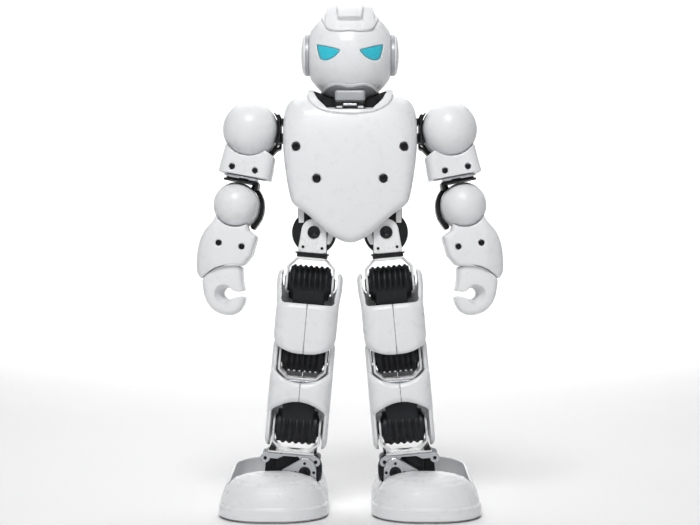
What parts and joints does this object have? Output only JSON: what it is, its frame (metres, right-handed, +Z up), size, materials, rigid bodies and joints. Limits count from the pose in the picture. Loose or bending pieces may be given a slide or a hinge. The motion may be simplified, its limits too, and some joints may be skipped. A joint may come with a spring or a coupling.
{
  "type": "humanoid robot kit",
  "caption": "Desktop humanoid robot kit with white shells, black ribbed servos, metal yokes and servo joints in the arms, hips, knees and ankles.",
  "frame": {"origin": "middle of the standing footprint, on the floor plane under the soles", "axes": "+Z up; the robot faces -Y; its own left side is +X"},
  "size_m": [0.2392, 0.124, 0.3976],
  "materials": {
    "white_shell": "gloss white injection-moulded shell",
    "servo_case": "matt black ribbed servo case",
    "black_bracket": "black powder-coated folded sheet",
    "bright_bracket": "satin anodised aluminium",
    "ear_ring": "silver-grey plastic",
    "eye_lens": "cyan translucent lens",
    "circuit_board": "green solder mask",
    "battery_wrap": "dark heat-shrink wrap",
    "screw_black": "black oxide"
  },
  "bodies": {
    "torso": {"chest_cover": "white_shell", "back_cover": "white_shell", "body_frame": "bright_bracket", "battery_pack": "battery_wrap", "control_board": "circuit_board", "shoulder_servos": "servo_case", "hip_roll_servos": "servo_case", "neck_bracket": "black_bracket", "face_shell": "white_shell", "rear_head_shell": "white_shell", "eye_lenses": "eye_lens", "ear_discs": "ear_ring", "head_crest": "white_shell", "chin_guard": "ear_ring", "chest_screws": "screw_black"},
    "switch_rocker": {"power_switch": "servo_case"},
    "right_shoulder": {"right_shoulder_bracket": "black_bracket"},
    "right_upper_arm": {"right_shoulder_roll_servo": "servo_case", "right_upper_arm_front_cover": "white_shell", "right_upper_arm_rear_cover": "white_shell", "right_elbow_bracket": "black_bracket"},
    "right_forearm": {"right_elbow_servo": "servo_case", "right_forearm_front_cover": "white_shell", "right_forearm_rear_cover": "white_shell", "right_hand": "white_shell"},
    "right_hip": {"right_hip_yoke": "bright_bracket"},
    "right_thigh": {"right_thigh_servos": "servo_case", "right_thigh_outer_cover": "white_shell", "right_thigh_inner_cover": "white_shell"},
    "right_shank": {"right_knee_yoke": "bright_bracket", "right_ankle_pitch_servo": "servo_case", "right_shank_outer_cover": "white_shell", "right_shank_inner_cover": "white_shell"},
    "right_ankle": {"right_ankle_bracket": "bright_bracket", "right_ankle_roll_servo": "servo_case"},
    "right_foot": {"right_foot_sole": "white_shell", "right_toe_cap": "white_shell", "right_heel_shell": "white_shell"},
    "left_shoulder": {"left_shoulder_bracket": "black_bracket"},
    "left_upper_arm": {"left_shoulder_roll_servo": "servo_case", "left_upper_arm_front_cover": "white_shell", "left_upper_arm_rear_cover": "white_shell", "left_elbow_bracket": "black_bracket"},
    "left_forearm": {"left_elbow_servo": "servo_case", "left_forearm_front_cover": "white_shell", "left_forearm_rear_cover": "white_shell", "left_hand": "white_shell"},
    "left_hip": {"left_hip_yoke": "bright_bracket"},
    "left_thigh": {"left_thigh_servos": "servo_case", "left_thigh_outer_cover": "white_shell", "left_thigh_inner_cover": "white_shell"},
    "left_shank": {"left_knee_yoke": "bright_bracket", "left_ankle_pitch_servo": "servo_case", "left_shank_outer_cover": "white_shell", "left_shank_inner_cover": "white_shell"},
    "left_ankle": {"left_ankle_bracket": "bright_bracket", "left_ankle_roll_servo": "servo_case"},
    "left_foot": {"left_foot_sole": "white_shell", "left_toe_cap": "white_shell", "left_heel_shell": "white_shell"}
  },
  "joints": [
    {"name": "right_shoulder_pitch", "type": "hinge", "parent": "torso", "child": "right_shoulder", "pos_m": [-0.054, 0, 0.297], "axis": [-1, 0, 0], "range_deg": [-60, 120]},
    {"name": "right_shoulder_roll", "type": "hinge", "parent": "right_shoulder", "child": "right_upper_arm", "pos_m": [-0.0776, 0, 0.297], "axis": [0, 1, 0], "range_deg": [-5, 90]},
    {"name": "right_elbow", "type": "hinge", "parent": "right_upper_arm", "child": "right_forearm", "pos_m": [-0.08861, 0, 0.237], "axis": [0, 1, 0], "range_deg": [-10, 75]},
    {"name": "right_hip_roll", "type": "hinge", "parent": "torso", "child": "right_hip", "pos_m": [-0.0278, 0, 0.2165], "axis": [0, 1, 0], "range_deg": [-4, 15]},
    {"name": "right_hip_pitch", "type": "hinge", "parent": "right_hip", "child": "right_thigh", "pos_m": [-0.03131, 0, 0.17716], "axis": [-0.996, 0, 0.0889], "range_deg": [-30, 75]},
    {"name": "right_knee", "type": "hinge", "parent": "right_thigh", "child": "right_shank", "pos_m": [-0.03629, 0, 0.12138], "axis": [0.996, 0, -0.0889], "range_deg": [-5, 85]},
    {"name": "right_ankle_pitch", "type": "hinge", "parent": "right_shank", "child": "right_ankle", "pos_m": [-0.04127, 0, 0.0656], "axis": [-0.996, 0, 0.0889], "range_deg": [-35, 35]},
    {"name": "right_ankle_roll", "type": "hinge", "parent": "right_ankle", "child": "right_foot", "pos_m": [-0.0349, 0, 0.0316], "axis": [0, -1, 0], "range_deg": [-20, 20]},
    {"name": "left_shoulder_pitch", "type": "hinge", "parent": "torso", "child": "left_shoulder", "pos_m": [0.054, 0, 0.297], "axis": [-1, 0, 0], "range_deg": [-60, 120]},
    {"name": "left_shoulder_roll", "type": "hinge", "parent": "left_shoulder", "child": "left_upper_arm", "pos_m": [0.0776, 0, 0.297], "axis": [0, -1, 0], "range_deg": [-5, 90]},
    {"name": "left_elbow", "type": "hinge", "parent": "left_upper_arm", "child": "left_forearm", "pos_m": [0.08861, 0, 0.237], "axis": [0, -1, 0], "range_deg": [-10, 75]},
    {"name": "left_hip_roll", "type": "hinge", "parent": "torso", "child": "left_hip", "pos_m": [0.0278, 0, 0.2165], "axis": [0, -1, 0], "range_deg": [-4, 15]},
    {"name": "left_hip_pitch", "type": "hinge", "parent": "left_hip", "child": "left_thigh", "pos_m": [0.03131, 0, 0.17716], "axis": [-0.996, 0, -0.0889], "range_deg": [-30, 75]},
    {"name": "left_knee", "type": "hinge", "parent": "left_thigh", "child": "left_shank", "pos_m": [0.03629, 0, 0.12138], "axis": [0.996, 0, 0.0889], "range_deg": [-5, 85]},
    {"name": "left_ankle_pitch", "type": "hinge", "parent": "left_shank", "child": "left_ankle", "pos_m": [0.04127, 0, 0.0656], "axis": [-0.996, 0, -0.0889], "range_deg": [-35, 35]},
    {"name": "left_ankle_roll", "type": "hinge", "parent": "left_ankle", "child": "left_foot", "pos_m": [0.0349, 0, 0.0316], "axis": [0, 1, 0], "range_deg": [-20, 20]},
    {"name": "switch_rock", "type": "hinge", "parent": "torso", "child": "switch_rocker", "pos_m": [0.016, 0.0266, 0.246], "axis": [1, 0, 0], "range_deg": [-8, 8]}
  ]
}
